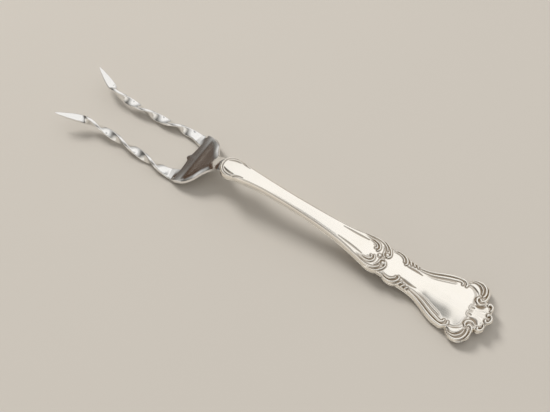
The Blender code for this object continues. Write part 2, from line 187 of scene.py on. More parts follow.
# Reed along the edge of the shaft: its half width along the handle
edge_reed_width = smooth_line([
    (49, 0.06), (53, 0.36), (57, 0.38), (62, 0.32), (70, 0.27), (80, 0.24), (98, 0.22), (102, 0.06),
])
EDGE_REED_START_X = 49.0
EDGE_REED_END_X = 102.0
EDGE_REED_POINTS = 40
EDGE_REED_HEIGHT = 0.22
EDGE_REED_INSET = 0.06

# Hollows cut into the handle, each given as a ridge is, with a depth in place of its height
HOLLOWS = [
    ([(33.2, 2.45), (31.6, 2.75), (29.8, 2.9), (27.2, 2.7)], [0.25, 0.75, 0.75, 0.12], 0.42),
    ([(47.0, 2.5), (46.3, 2.3), (46.1, 2.0)], [0.2, 0.35, 0.3], 0.28),
    ([(59, 2.1), (56, 2.3), (53.5, 2.5), (51, 2.75), (49, 2.95)], [0.15, 0.45, 0.5, 0.2], 0.36),
    ([(107.3, 1.75), (106.5, 2.25), (105.4, 2.6), (104.2, 2.75), (102.8, 2.7)], [0.2, 0.5, 0.5, 0.15], 0.4),
    ([(103.4, 4.5), (102.8, 3.9), (102.3, 3.4), (101.3, 2.95), (100.2, 2.6), (98.6, 2.4)],
     [0.5, 0.45, 0.4, 0.12], 0.36),
    ([(11.8, 8.2), (10.7, 8.0), (9.8, 7.45), (9.1, 6.75), (8.6, 5.9), (8.45, 4.9), (8.4, 3.9), (8.1, 2.9)],
     [0.4, 0.5, 0.55, 0.6, 0.6, 0.5], 0.3),
    ([(7.9, 1.25), (7.3, 1.35)], [0.5, 0.5], 0.36),
    ([(7.0, 2.55), (6.0, 2.5), (5.0, 2.85), (4.3, 3.6)], [0.5, 0.85, 0.85, 0.5], 0.42),
    ([(2.8, 3.6), (2.75, 4.4)], [0.6, 0.6], 0.34),
    ([(1.75, 0.0), (1.7, 0.6)], [0.5, 0.5], 0.34),
    ([(5.6, 0.0), (3.6, 0.0)], [1.6, 2.0], 0.1),
]

# Head from inside the handle to the crotch: its middle line, half width and half thickness, the shape of its
# edges, its dish and the line of the crotch. A span is the start, end and count of rows along the fork
NECK_BEND_X = 107.5
CROTCH_X = 124.9
CROTCH_REACH_X = 119.0
BODY_SPANS = [(96.0, 108.0, 12), (108.0, 120.0, 60), (120.0, CROTCH_X, 30)]
ROOT_COLUMNS = [0.0, 0.2, 0.4, 0.55, 0.7, 0.8, 0.9, 1.05, 1.3, 1.8, 2.5, 3.4, 4.4, 5.4]
TINE_ROOT_INNER = 6.6
SLOPE_STEP = 0.05
SHARP_ANGLE = math.radians(30)
head_height = smooth_line([
    (107.5, 10.72), (108.5, 10.54), (109.5, 10.2), (110.5, 9.6), (111.5, 8.82), (112.5, 8.06), (113.5, 7.4),
    (114.5, 6.82), (116, 5.97), (118, 4.83), (121.0, 3.12), (121.3, 2.97), (122.6, 2.42), (124, 1.82),
    (125, 1.38), (126.6, 0.7), (128, 0.5),
])
head_half_width = smooth_line([
    (90, 1.45), (101, 1.7), (104, 2.4), (107.5, 2.95), (111, 3.1), (113, 3.6), (115, 5.5), (117.3, 9.1),
    (120, 11.1), (122.5, 11.8), (125, 12.0), (128, 11.8),
])
head_half_thick = smooth_line([
    (90, 0.9), (101, 1.0), (107.5, 1.15), (109.5, 1.2), (112, 1.15), (119, 1.05), (121, 1.0), (126, 0.8),
])
edge_roundness = smooth_line([
    (90, 8.0), (101, 7.0), (105, 2.6), (112, 2.3), (116, 6.0), (120, 16.0), (124.5, 200.0), (128, 200.0),
])
edge_height = smooth_line([(90, 0.4), (117, 0.4), (122, 0.6), (124.5, 0.85), (128, 0.85)])
dish_depth = smooth_line([(113, 0.0), (120.5, 0.05), (123.5, 0.3), (128, 0.5)])
crotch_edge = smooth_line([
    (0.0, 1.5), (0.35, 1.42), (0.7, 1.15), (1.0, 0.75), (1.3, 0.35), (1.7, 0.12), (2.5, 0.0), (4.6, -0.25),
    (6.6, -0.4),
])

# Tines: path, width, thickness, turn in degrees and height of the narrow edges, and the columns across one
TINE_SPANS = [(126.0, 171.5, 190), (171.5, 180.0, 34)]
TINE_COLUMNS = [0.0, 0.012, 0.035, 0.07, 0.11, 0.25, 0.4, 0.6, 0.75, 0.89, 0.93, 0.965, 0.988, 1.0]
TINE_ROUNDING = 0.11
FULL_TURN = 540.0
tine_sideways = smooth_line([
    (126, 9.3), (130, 9.75), (137, 9.4), (145, 8.7), (159, 8.2), (166.5, 8.35), (170, 9.3), (171.5, 9.92),
    (175, 11.43), (180, 13.6),
])
tine_height = smooth_line([
    (126, 0.86), (127.5, 0.92), (130, 1.3), (137, 1.8), (144, 1.9), (151.5, 2.4), (159, 3.1), (169, 4.7),
    (180, 6.7),
])
tine_width = smooth_line([
    (126, 5.1), (128, 4.3), (131, 3.65), (137, 3.4), (150, 3.3), (169, 3.15), (171.3, 3.2), (174, 2.75),
    (177, 1.75), (179, 0.95), (180, 0.3),
])
tine_thick = smooth_line([(126, 1.6), (132, 1.4), (140, 1.3), (171, 1.25), (180, 0.5)])
tine_turn = smooth_line([
    (126, -8.0), (129, -3.0), (131.2, 10.0), (137.2, 90.0), (144.4, 180.0), (151.7, 270.0), (159, 360.0),
    (165.5, 443.0), (168, 462.0), (170.8, FULL_TURN), (180, FULL_TURN),
])
tine_edge_height = smooth_line([(126, 0.85), (130, 0.5), (170, 0.5), (173, 0.7), (180, 0.7)])

# Spacing of the points that the shells are drawn with. A margin is how far a grid reaches round the
# ornament, and a clearance is how far a point keeps off the points before it, as a share of their spacing
OUTLINE_SAMPLES = 40001
OUTLINE_STEP = 0.15
FINE_OUTLINE_STEP = OUTLINE_STEP / 3
EDGE_ROWS = [0.05, 0.12, 0.2, 0.3, 0.4, 0.5, 0.6, 0.7, 0.8, 0.9, 1.0]
FINE_MARGIN = 0.3
MEDIUM_STEP = 0.25
MEDIUM_MARGIN = 1.0
COARSE_STEP = 0.5
HOLLOW_STEP = 1.2
PLAN_HALF_WIDTH = 13.0
ROW_CLEARANCE = 0.93
EDGE_CLEARANCE = 0.6
GRID_CLEARANCE = 0.7
PATH_STEPS = 8
SAME_POINT = 1e-6
ON_AXIS = 1e-5
NO_LENGTH = 1e-12

# Section of the ridges, of the crown and of the rolled edges
RIDGE_FLATNESS = 2.4
FULL_HEIGHT_SHARE = 0.75
GROOVED_HEIGHT = 0.3
RELIEF_SMOOTHING = 2
CROWN_REACH = 0.97
PLAIN_EDGE = 0.3
LIP_DROP = 0.3
LIP_WALL = 0.25

# Tarnish and painted shade: beside the ridges, in the hollows and where the metal lies lower than what is
# round it
# The dark colour there is partly the silver's tarnish and partly painted shade and painted reflection
TARNISHED_AND_SHADED_FLANK = 0.16
PLAIN_CUT = 0.12
TARNISHED_AND_SHADED_CUT = 0.45
TARNISH_AND_SHADE_SMOOTHING = 5
GROOVE_SPREAD = 22
GROOVE_SHADE = 0.24
BRIGHT_EDGE = (0.25, 0.6)

# Marks on the finishes: how many to the metre (along, across and up), and how much each adds
SILVER_LINES_PER_METRE = (90.0, 2600.0, 90.0)
STEEL_LINES_PER_METRE = (70.0, 3000.0, 70.0)
CLOUDS_PER_METRE = 140.0
LINE_DEPTH = 0.00005
# Darkening of the grooves, partly tarnish and partly painted shade: its patchiness, its level and its limits
TARNISH_AND_SHADE_CLOUDS = 0.4
TARNISH_AND_SHADE_LEVEL = 1.15
TARNISH_AND_SHADE_LIMITS = (0.06, 0.8)
TARNISH_ROUGHNESS = 0.3
FILM_SHARE = 0.12
SILVER_LINE_ROUGHNESS = 0.05
SILVER_LINE_BUMP = 0.04
STEEL_CLOUD_SHADE = 0.2
STEEL_LINE_SHADE = 0.15
STEEL_LINE_ROUGHNESS = 0.02
STEEL_CLOUD_ROUGHNESS = 0.04
STEEL_LINE_BUMP = 0.01
GRIT_PER_METRE = 1500.0
GRIT_ROUGHNESS = 0.1
GRIT_BUMP = 0.4
GRIT_DEPTH = 0.0002
CEMENT_ROUGHNESS = 0.85
FLOOR_CLOUDS_PER_METRE = 9.0
FLOOR_CLOUD_GAIN = 1.03
FLOOR_ROUGHNESS = 0.7


def half_width(x):
    """Half width of the handle: the smooth line with the lobes and scrolls standing out of it."""
    x = np.asarray(x, float)
    edge = np.where((x >= FIDDLE_START_X) & (x <= FIDDLE_END_X), fiddle_line(x), 0.0)
    for centre_x, centre_y, half_length, lobe_width in LOBES:
        share = 1 - ((x - centre_x) / half_length) ** 2
        lobe = centre_y + lobe_width * np.sqrt(np.maximum(share, 0))
        edge = np.maximum(edge, np.where(share > 0, lobe, 0.0))
    return edge


def even_steps(line, step):
    """The same line with its points about one step apart."""
    passed = np.concatenate([[0.0], np.cumsum(np.hypot(*np.diff(line, axis=0).T))])
    at = np.linspace(0, passed[-1], max(2, round(passed[-1] / step) + 1))
    return np.stack([np.interp(at, passed, line[:, k]) for k in range(2)], axis=-1)


def half_outline():
    """Edge of half the handle in plan, from the middle of the butt round to the middle of the nose."""
    share = (1 - np.cos(np.linspace(0, math.pi, OUTLINE_SAMPLES))) / 2
    x = share * NOSE_END_X
    line = np.stack([x, half_width(x)], axis=-1)
    line[0] = (0, 0)
    line[-1] = (NOSE_END_X, 0)
    return even_steps(line, OUTLINE_STEP)


def inward(line):
    """Unit vectors that point into the handle from its edge."""
    mirrored = np.vstack([line[1] * (1, -1), line, line[-2] * (1, -1)])
    along = mirrored[2:] - mirrored[:-2]
    return np.stack([along[:, 1], -along[:, 0]], axis=-1) / np.hypot(*along.T)[:, None]


def tree_of(points):
    """Points of a plan, ready to be searched for the nearest one."""
    tree = KDTree(len(points))
    for k, (x, y) in enumerate(points):
        tree.insert((x, y, 0), k)
    tree.balance()
    return tree


def distance_to(tree, points):
    """Distance of each point to the nearest one in a tree."""
    return np.array([tree.find((x, y, 0))[2] for x, y in points])


def smooth_path(points):
    """A path that bends smoothly through its points."""
    points = np.array(points, float)
    longer = np.vstack([2 * points[0] - points[1], points, 2 * points[-1] - points[-2]])
    t = np.linspace(0, 1, PATH_STEPS, endpoint=False)[:, None]
    pieces = []
    for a, b, c, d in zip(longer, longer[1:], longer[2:], longer[3:]):
        slope = (c - a) / 2
        bend = a - 2.5 * b + 2 * c - d / 2
        change = 1.5 * (b - c) + (d - a) / 2
        pieces.append(b + t * slope + t ** 2 * bend + t ** 3 * change)
    return np.vstack([*pieces, points[-1:]])


def edge_reed():
    """The thin reed along the edge of the shaft, as a ridge."""
    x = np.linspace(EDGE_REED_START_X, EDGE_REED_END_X, EDGE_REED_POINTS)
    widths = edge_reed_width(x)
    path = np.stack([x, half_width(x) - widths - EDGE_REED_INSET], axis=-1)
    return path, widths, EDGE_REED_HEIGHT


class Relief:
    """Heights of the struck ornament at points in the plan of half the handle."""

    def __init__(self, points, groove_reach, groove_depth):
        self.points = points
        self.reach = groove_reach
        self.depth = groove_depth
        self.up = np.zeros(len(points))
        self.groove = np.zeros(len(points))
        self.cut = np.zeros(len(points))
        self.marked = np.zeros(len(points), bool)
        for path, widths, height in (*RIDGES, edge_reed()):
            self.raise_along(path, widths, height)
        for centre, radius, height in BEADS:
            self.raise_along([centre, centre], [radius, radius], height)
        for path, widths, depth in HOLLOWS:
            near, gap, half = self.near_path(path, widths)
            hollow = depth * np.maximum(1 - (gap / half) ** 2, 0) ** 2
            self.cut[near] = np.maximum(self.cut[near], hollow)

    def near_path(self, path, widths):
        """Points near a path, how far each lies from it, and half the path's width there."""
        line = smooth_path(path) if len(path) > 2 else np.array(path, float)
        margin = max(widths) + self.reach
        inside = (self.points > line.min(0) - margin) & (self.points < line.max(0) + margin)
        near = np.flatnonzero(inside.all(axis=1))
        points = self.points[near]
        gap = np.full(len(near), np.inf)
        along = np.zeros(len(near))
        for k, (start, end) in enumerate(zip(line[:-1], line[1:])):
            step = end - start
            t = np.clip((points - start) @ step / max(step @ step, NO_LENGTH), 0, 1)
            away = np.hypot(*(points - start - t[:, None] * step).T)
            along = np.where(away < gap, (k + t) / (len(line) - 1), along)
            gap = np.minimum(away, gap)
        half = np.interp(along, np.linspace(0, 1, len(widths)), widths)
        self.marked[near] |= gap < half + self.reach
        return near, gap, half

    def raise_along(self, path, widths, height):
        """A rounded ridge with a narrow groove on each side of it."""
        near, gap, half = self.near_path(path, widths)
        full = np.minimum(1, half / (FULL_HEIGHT_SHARE * max(widths)))
        ridge = height * full * np.maximum(1 - (gap / half) ** RIDGE_FLATNESS, 0)
        self.up[near] = np.maximum(self.up[near], ridge)
        beside = np.clip(1 - (gap - half) / self.reach, 0, 1)
        depth = self.depth * full * min(1, height / GROOVED_HEIGHT)
        self.groove[near] = np.maximum(self.groove[near], depth * beside * beside * (3 - 2 * beside))

    def height(self):
        """Height of each point over the plain shell. A ridge covers the grooves of its neighbours."""
        cover = np.clip(self.up / self.depth, 0, 1)
        return self.up - self.groove * (1 - cover) - self.cut

    def lines(self):
        """How far each point lies in a darkened line or hollow, from 0 to 1: partly tarnish, partly painted
        shade.
        """
        beside = self.groove / self.depth * (1 - np.clip(self.up / TARNISHED_AND_SHADED_FLANK, 0, 1))
        hollow = np.clip((self.cut - PLAIN_CUT) / TARNISHED_AND_SHADED_CUT, 0, 1) * (self.up < PLAIN_CUT)
        return np.maximum(beside, hollow)


def triangle_grid(step):
    """Points of a three-way grid over half the plan."""
    rows = np.arange(step / 2, PLAN_HALF_WIDTH, step * math.sqrt(0.75))
    x = np.arange(0, NOSE_END_X, step)
    shifted = [np.stack([x + (k % 2) * step / 2, np.full(len(x), y)], axis=-1) for k, y in enumerate(rows)]
    return np.vstack(shifted)


def fill_half(edge, axis_step, inner_points):
    """Triangles over half the plan, between its edge and the middle line. The edge's points come first."""
    count = max(2, round((edge[-1][0] - edge[0][0]) / axis_step))
    axis = np.linspace(edge[-1], edge[0], count + 1)[1:-1]
    loop = np.vstack([edge, axis])
    points = [Vector(point) for point in np.vstack([loop, inner_points])]
    edges = [(k, (k + 1) % len(loop)) for k in range(len(loop))]
    made, _, triangles, sources, _, _ = delaunay_2d_cdt(points, edges, [], 1, SAME_POINT)
    plan = np.array([tuple(point) for point in made], float)
    plan[:, 1] = np.where(plan[:, 1] < ON_AXIS, 0.0, plan[:, 1])
    place = {source: k for k, merged in enumerate(sources) for source in merged}
    return plan, np.array(triangles), np.array([place[k] for k in range(len(edge))])


def whole_plan(plan, triangles, edge):
    """Both halves of a plan, sharing the points on the middle line, with the closed loop round its edge."""
    off_axis = plan[:, 1] > 0
    twin = np.arange(len(plan))
    twin[off_axis] = len(plan) + np.arange(off_axis.sum())
    both = np.vstack([triangles, twin[triangles][:, ::-1]])
    return both, np.concatenate([edge, twin[edge][-2:0:-1]]), off_axis


class HandlePlan:
    """The struck outside and the plain hollow of a half shell, worked out once for the two halves."""

    def __init__(self, sizes):
        self.wall = sizes.wall / MM
        self.gap = sizes.seam_gap / MM
        self.roll = sizes.edge_roll / MM
        self.lip = sizes.lip_roll / MM
        self.fine_step = sizes.fine_step / MM
        self.groove = (sizes.groove_reach / MM, sizes.groove_depth / MM)
        self.outline = half_outline()
        self.normal = inward(self.outline)
        self.sides = self.outline[:, 0] <= MOUTH_X
        self.around = tree_of(even_steps(self.outline, FINE_OUTLINE_STEP))
        self.side = tree_of(even_steps(self.outline[self.sides], FINE_OUTLINE_STEP))
        self.mouth = tree_of(self.outline[self.outline[:, 0] >= MOUTH_X])
        self.strike(sizes.relief)
        self.hollow_out()

    def strike(self, strength):
        """The outside: its triangles, its height over the seam, and how far each point is darkened by
        tarnish and painted shade.
        """
        rows = [self.edge_row(depth) for depth in EDGE_ROWS]
        points = np.vstack([*rows, self.inner_points()])
        self.plan, triangles, edge = fill_half(self.outline, self.fine_step, points)
        self.triangles, self.loop, self.off_axis = whole_plan(self.plan, triangles, edge)
        ornament = Relief(self.plan, *self.groove)
        relief = self.spread(self.both_sides(ornament.height() * strength), RELIEF_SMOOTHING)
        self.outer_rise = self.outer_height(self.plan, relief[:len(self.plan)])
        # Darkened where the face lies lower than the metal round it (painted shade) and in the lines and
        # hollows (tarnish and painted shade), and kept bright near the edge
        lower = np.clip((self.spread(relief, GROOVE_SPREAD) - relief) / GROOVE_SHADE, 0, 1)
        lines = self.spread(self.both_sides(ornament.lines()), TARNISH_AND_SHADE_SMOOTHING)
        from_edge = np.interp(distance_to(self.side, self.plan), BRIGHT_EDGE, (0, 1))
        self.tarnish_and_shade = np.maximum(lower, lines) * self.both_sides(from_edge)

    def hollow_out(self):
        """The inside: a plain hollow that leaves the wall round it."""
        inset = np.where(self.sides, self.wall, LIP_WALL * self.wall)
        self.hollow_edge = self.outline + self.normal * inset[:, None]
        self.hollow_edge[[0, -1], 1] = 0
        points = self.inside(triangle_grid(HOLLOW_STEP), self.wall + HOLLOW_STEP / 2)
        self.hollow, triangles, edge = fill_half(self.hollow_edge, HOLLOW_STEP, points)
        self.hollow_triangles, self.hollow_loop, self.hollow_off = whole_plan(self.hollow, triangles, edge)
        rim = tree_of(even_steps(self.hollow_edge[self.sides], FINE_OUTLINE_STEP))
        self.hollow_rise = self.hollow_height(self.hollow, rim)

    def edge_row(self, depth):
        """Points that follow the edge at a depth, where they are clear of the rest of it."""
        row = self.outline[1:-1] + depth * self.normal[1:-1]
        clear = (distance_to(self.around, row) > ROW_CLEARANCE * depth) & (row[:, 1] > depth / 2)
        return row[clear]

    def inner_points(self):
        """Points inside the edge rows, close together in the ornament and further apart elsewhere."""
        reach, depth = self.groove
        keep_off = EDGE_ROWS[-1] + EDGE_CLEARANCE * self.fine_step
        grids = ((self.fine_step, FINE_MARGIN), (MEDIUM_STEP, MEDIUM_MARGIN), (COARSE_STEP, None))
        kept = np.zeros((0, 2))
        for step, margin in grids:
            grid = self.inside(triangle_grid(step), keep_off)
            if margin is not None:
                grid = grid[Relief(grid, reach + margin, depth).marked]
            if len(kept):
                grid = grid[distance_to(tree_of(kept), grid) > GRID_CLEARANCE * step]
            kept = np.vstack([kept, grid])
        return kept

    def inside(self, points, keep_off):
        """Points in the plan that keep off its edge."""
        points = points[points[:, 1] < half_width(points[:, 0])]
        return points[distance_to(self.around, points) > keep_off]

    def crown(self, points):
        """Height of the plain half shell over its seam, before its edges are rolled over."""
        x, y = points.T
        share = np.clip(CROWN_REACH * y / crown_width(x), 0, 1)
        return shell_rise(x) * np.sqrt(1 - share ** crown_power(x))

    def outer_height(self, points, relief):
        """Height of the struck face over the seam, with its edges rolled over."""
        from_side = distance_to(self.side, points)
        from_mouth = distance_to(self.mouth, points)
        roll = self.roll * edge_roll_share(points[:, 0])
        rolled = np.sqrt(1 - (1 - np.minimum(from_side / roll, 1)) ** 2)
        height = self.crown(points) * rolled * self.lip_drop(from_mouth)
        plain = np.minimum(from_side / PLAIN_EDGE, 1) * np.minimum(from_mouth / PLAIN_EDGE, 1)
        return np.maximum(height + relief * plain, 0)

    def lip_drop(self, from_mouth):
        """Share of its height that the nose keeps where it is rounded over to the mouth."""
        share = 1 - np.minimum(from_mouth / self.lip, 1)
        return 1 - LIP_DROP * (1 - np.sqrt(1 - share ** 2))

    def hollow_height(self, points, rim):
        """Height of the hollow over the seam: a wall under the crown, and rolled over at its own edge."""
        rolled = np.sqrt(1 - (1 - np.minimum(distance_to(rim, points) / self.roll, 1)) ** 2)
        from_mouth = distance_to(self.mouth, points)
        wall = self.wall * (LIP_WALL + (1 - LIP_WALL) * np.minimum(from_mouth / self.lip, 1))
        return np.maximum(self.crown(points) * self.lip_drop(from_mouth) - wall, 0) * rolled

    def both_sides(self, values):
        """Values of half the struck face, with those of its mirrored points after them."""
        return np.concatenate([values, values[self.off_axis]])

    def spread(self, values, times):
        """Values at the points of the struck face, each drawn towards its neighbours a number of times."""
        pairs = np.vstack([self.triangles[:, [0, 1]], self.triangles[:, [1, 2]], self.triangles[:, [2, 0]]])
        pairs = np.vstack([pairs, pairs[:, ::-1]])
        count = np.bincount(pairs[:, 0], minlength=len(values))
        for _ in range(times):
            values = (values + np.bincount(pairs[:, 0], values[pairs[:, 1]], len(values)) / count) / 2
        return values

    def sheet(self, plan, rise, off_axis, side):
        """Points of one face of a half shell: side 1 is the front, -1 the back."""
        half = np.column_stack([plan, np.maximum(seam_height(plan[:, 0]) + side * (self.gap / 2 + rise), 0)])
        return np.vstack([half, half[off_axis] * (1, -1, 1)])

    def shell(self, name, side):
        """A closed half shell that keeps how far each of its points is darkened by tarnish and painted
        shade.
        """
        outer = self.sheet(self.plan, self.outer_rise, self.off_axis, side)
        hollow = self.sheet(self.hollow, self.hollow_rise, self.hollow_off, side)
        lining = self.hollow_triangles[:, ::-1] + len(outer)
        rim = ring_faces(self.loop, self.hollow_loop + len(outer))
        faces = [*self.triangles.tolist(), *lining.tolist(), *rim]
        piece = new_piece(name, np.vstack([outer, hollow]), faces)
        # The "groove" attribute carries the tarnish and painted shade of each point
        keep_values(piece, "groove", np.concatenate([self.tarnish_and_shade, np.zeros(len(hollow))]))
        return piece

    def solder(self, name, margin, thick):
        """A ribbon of solder along the edge of the shells, with its two cut ends at the mouth."""
        edge = self.plan[self.loop[:len(self.hollow_edge)]]
        keep = edge[:, 0] <= MOUTH_X
        middle = (edge[keep] + self.hollow_edge[keep]) / 2
        half = (edge[keep] - self.hollow_edge[keep]) / 2
        half *= 1 - margin / np.hypot(*half.T)[:, None]
        lines = []
        for across, up in ((1, 1), (1, -1), (-1, -1), (-1, 1)):
            line = middle + across * half
            line = np.column_stack([line, seam_height(line[:, 0]) + up * thick / 2])
            lines.append(np.vstack([line[::-1], line[1:] * (1, -1, 1)]))
        rows = np.arange(len(lines) * len(lines[0])).reshape(len(lines), -1)
        ends = rows[:, [0, -1]].T.tolist()
        return new_piece(name, np.vstack(lines), [*sheet_faces(np.vstack([rows, rows[:1]])), *ends])


def sheet_faces(rows):
    """Faces between rows of points, given by their numbers."""
    rows = np.array(rows)
    corners = [rows[:-1, :-1], rows[:-1, 1:], rows[1:, 1:], rows[1:, :-1]]
    return np.stack(corners, axis=-1).reshape(-1, 4).tolist()


def ring_faces(one, other):
    """Faces between two closed loops of the same count."""
    after = np.roll(np.arange(len(one)), -1)
    return np.column_stack([one, other, other[after], one[after]]).tolist()


def add_object(name, data):
    """A new object in the scene, at the origin."""
    made = bpy.data.objects.new(name, data)
    bpy.context.scene.collection.objects.link(made)
    return made


def keep_values(piece, name, values):
    """Keeps a number or a vector for each point of a piece."""
    kind, field = ("FLOAT_VECTOR", "vector") if values.ndim > 1 else ("FLOAT", "value")
    piece.data.attributes.new(name, kind, "POINT").data.foreach_set(field, values.ravel())


def new_piece(name, points, faces):
    """A mesh object at the origin, with its faces turned outwards, from plan millimetres."""
    mesh = bpy.data.meshes.new(name)
    mesh.from_pydata([tuple(p) for p in (np.asarray(points) + (BUTT_X, 0, 0)) * MM], [], faces)
    shape = bmesh.new()
    shape.from_mesh(mesh)
    bmesh.ops.recalc_face_normals(shape, faces=shape.faces)
    shape.to_mesh(mesh)
    shape.free()
    mesh.shade_smooth()
    return add_object(name, mesh)


def head_middle(x):
    """Height of the head's middle line: along the handle's seam in the tang, then down to the crotch."""
    return np.where(x < NECK_BEND_X, seam_height(x), head_height(x))


def head_columns():
    """Places across the head as shares of its half width, with the columns of each tine at the edges."""
    inner_share = TINE_ROOT_INNER / head_half_width(CROTCH_X)
    middle = inner_share * np.array(ROOT_COLUMNS) / TINE_ROOT_INNER
    tine = inner_share + (1 - inner_share) * np.array(TINE_COLUMNS)
    half = np.concatenate([middle, tine])
    return np.concatenate([-half[:0:-1], half])


def rows_along(spans):
    """Places of rows along the head. Each span but the last leaves its end to the next one."""
    first = [np.linspace(*span, endpoint=False) for span in spans[:-1]]
    return np.concatenate([*first, np.linspace(*spans[-1])])


def tine_path(x, side):
    """Point on the middle line of a tine, as it would be drawn on a flat blank."""
    return np.array([x, side * tine_sideways(x), tine_height(x)])


class HeadBlank:
    """The head before its tines are turned: points, and the path, offset and axis that each is turned by."""

    def __init__(self):
        self.path = []
        self.offset = []
        self.axis = []
        self.turn = []
        self.faces = []

    def add(self, path, offset, axis=(1, 0, 0), turn=0.0):
        """Takes a row of points and returns their numbers."""
        first = len(self.path)
        count = len(path)
        self.path += list(path)
        self.offset += list(offset)
        self.axis += [axis] * count
        self.turn += [turn] * count
        return np.arange(first, first + count)

    def skin(self, upper, lower):
        """The upper and the lower face of a strip, and its two long edges."""
        edges = [[[row[edge] for row in upper], [row[edge] for row in lower]] for edge in (0, -1)]
        for rows in (upper, lower, *edges):
            self.faces += sheet_faces(rows)

    def body(self, columns):
        """Rows over the tang's end, the neck and the root, as numbers of the upper and the lower face."""
        upper, lower = [], []
        for x in rows_along(BODY_SPANS):
            slope = (head_middle(x + SLOPE_STEP) - head_middle(x - SLOPE_STEP)) / (2 * SLOPE_STEP)
            normal = np.array([-slope, 0, 1]) / np.hypot(slope, 1)
            reach = np.clip((x - CROTCH_REACH_X) / (CROTCH_X - CROTCH_REACH_X), 0, 1) ** 2
            y = columns * head_half_width(x)
            forward = reach * crotch_edge(np.minimum(np.abs(y), TINE_ROOT_INNER))
            edge = np.sqrt(np.maximum(1 - np.abs(columns) ** edge_roundness(x), edge_height(x) ** 2))
            height = head_middle(x + forward) + dish_depth(x) * columns ** 2
            middle = np.stack([x + forward, y, height], axis=-1)
            away = (head_half_thick(x) * edge)[:, None] * normal
            for rows, sign in ((upper, 1), (lower, -1)):
                points = middle + sign * away
                points[:, 2] = np.maximum(points[:, 2], 0)
                rows.append(self.add(points, np.zeros_like(points)))
        return upper, lower

    def tine(self, side):
        """Rows of one flat strip along its path, clear of the floor, with each row's share of the turn."""
        share = np.array(TINE_COLUMNS) - 0.5
        rounding = np.sqrt(1 - np.interp(np.abs(share), (0.5 - TINE_ROUNDING, 0.5), (0, 1)) ** 2)
        upper, lower = [], []
        for x in rows_along(TINE_SPANS):
            behind = tine_path(x - SLOPE_STEP, side)
            ahead = tine_path(x + SLOPE_STEP, side)
            tangent = (ahead - behind) / np.linalg.norm(ahead - behind)
            out = np.cross((0, 0, side), tangent)
            out /= np.linalg.norm(out)
            up = np.cross(tangent, side * out)
            middle = (behind + ahead) / 2
            lean = math.radians(tine_turn(x))
            lowest = (tine_width(x) * abs(math.sin(lean)) + tine_thick(x) * abs(math.cos(lean))) / 2
            middle[2] = max(middle[2], lowest)
            path = np.tile(middle, (len(share), 1))
            edge = tine_edge_height(x)
            across = np.outer(share * tine_width(x), out)
            away = np.outer((edge + (1 - edge) * rounding) * tine_thick(x) / 2, up)
            turn = tine_turn(x) / FULL_TURN
            upper.append(self.add(path, across + away, tuple(side * tangent), turn))
            lower.append(self.add(path, across - away, tuple(side * tangent), turn))
        return upper, lower

    def draw(self):
        """The whole blank: body, crotch and both tines in one closed skin."""
        columns = head_columns()
        upper, lower = self.body(columns)
        self.skin(upper, lower)
        self.faces += sheet_faces([upper[0], lower[0]])
        count = len(TINE_COLUMNS)
        crotch = slice(count - 1, len(columns) - count + 1)
        self.faces += sheet_faces([upper[-1][crotch], lower[-1][crotch]])
        for side in (1, -1):
            root = slice(len(columns) - count, None) if side > 0 else slice(count - 1, None, -1)
            over, under = self.tine(side)
            over = [upper[-1][root], *over]
            under = [lower[-1][root], *under]
            self.skin(over, under)
            self.faces += sheet_faces([over[-1], under[-1]])
        path = np.array(self.path)
        offset = np.array(self.offset)
        blank = new_piece("fork_head_blank", path + offset, self.faces)
        keep_values(blank, "path", (path + (BUTT_X, 0, 0)) * MM)
        keep_values(blank, "offset", offset * MM)
        keep_values(blank, "axis", np.array(self.axis))
        keep_values(blank, "turn", np.array(self.turn))
        return blank


class Value:
    """A value in a node tree. Arithmetic on it adds Math nodes, and make adds any other node."""

    def __init__(self, tree, socket=None):
        self.tree = tree
        self.socket = socket

    def make(self, kind, settings=None, inputs=None, output=0):
        """A node of any kind: its settings first, then its sockets, and one of its outputs as a value."""
        node = self.tree.nodes.new(kind)
        for name, setting in (settings or {}).items():
            if name == "stops":
                set_stops(node.color_ramp, setting)
            else:
                setattr(node, name, setting)
        for name, value in (inputs or {}).items():
            self.feed(node.inputs[name], value)
        return Value(self.tree, node.outputs[output])

    def feed(self, socket, value):
        """Links a value to a socket, or sets the socket to a plain number, colour or vector."""
        if isinstance(value, Value):
            self.tree.links.new(value.socket, socket)
        else:
            socket.default_value = value

    def math(self, operation, first, second):
        """A Math node on two values or plain numbers."""
        return self.make("ShaderNodeMath", {"operation": operation}, {0: first, 1: second})

    def mix(self, first, second):
        """One colour turning into another as this value goes from 0 to 1."""
        settings = {"data_type": "RGBA", "clamp_factor": True}
        return self.make("ShaderNodeMix", settings, {0: self, 6: first, 7: second}, 2)

    def between(self, low, high):
        """This value taken from 0 at low to 1 at high."""
        inputs = {"Value": self, "From Min": low, "From Max": high}
        return self.make("ShaderNodeMapRange", {"clamp": True}, inputs)

    def along(self, direction):
        """How far this vector points in a direction."""
        vectors = {0: self, 1: direction}
        return self.make("ShaderNodeVectorMath", {"operation": "DOT_PRODUCT"}, vectors, "Value")

    def __add__(self, other):
        return self.math("ADD", self, other)

    def __sub__(self, other):
        return self.math("SUBTRACT", self, other)

    def __rsub__(self, other):
        return self.math("SUBTRACT", other, self)

    def __mul__(self, other):
        return self.math("MULTIPLY", self, other)

    __radd__ = __add__
    __rmul__ = __mul__


def set_stops(ramp, stops):
    """Colours of a ramp at their places, in order."""
    while len(ramp.elements) > len(stops):
        ramp.elements.remove(ramp.elements[-1])
    while len(ramp.elements) < len(stops):
        ramp.elements.new(1.0)
    for element, (place, shade) in zip(ramp.elements, stops):
        element.position = place
        element.color = shade


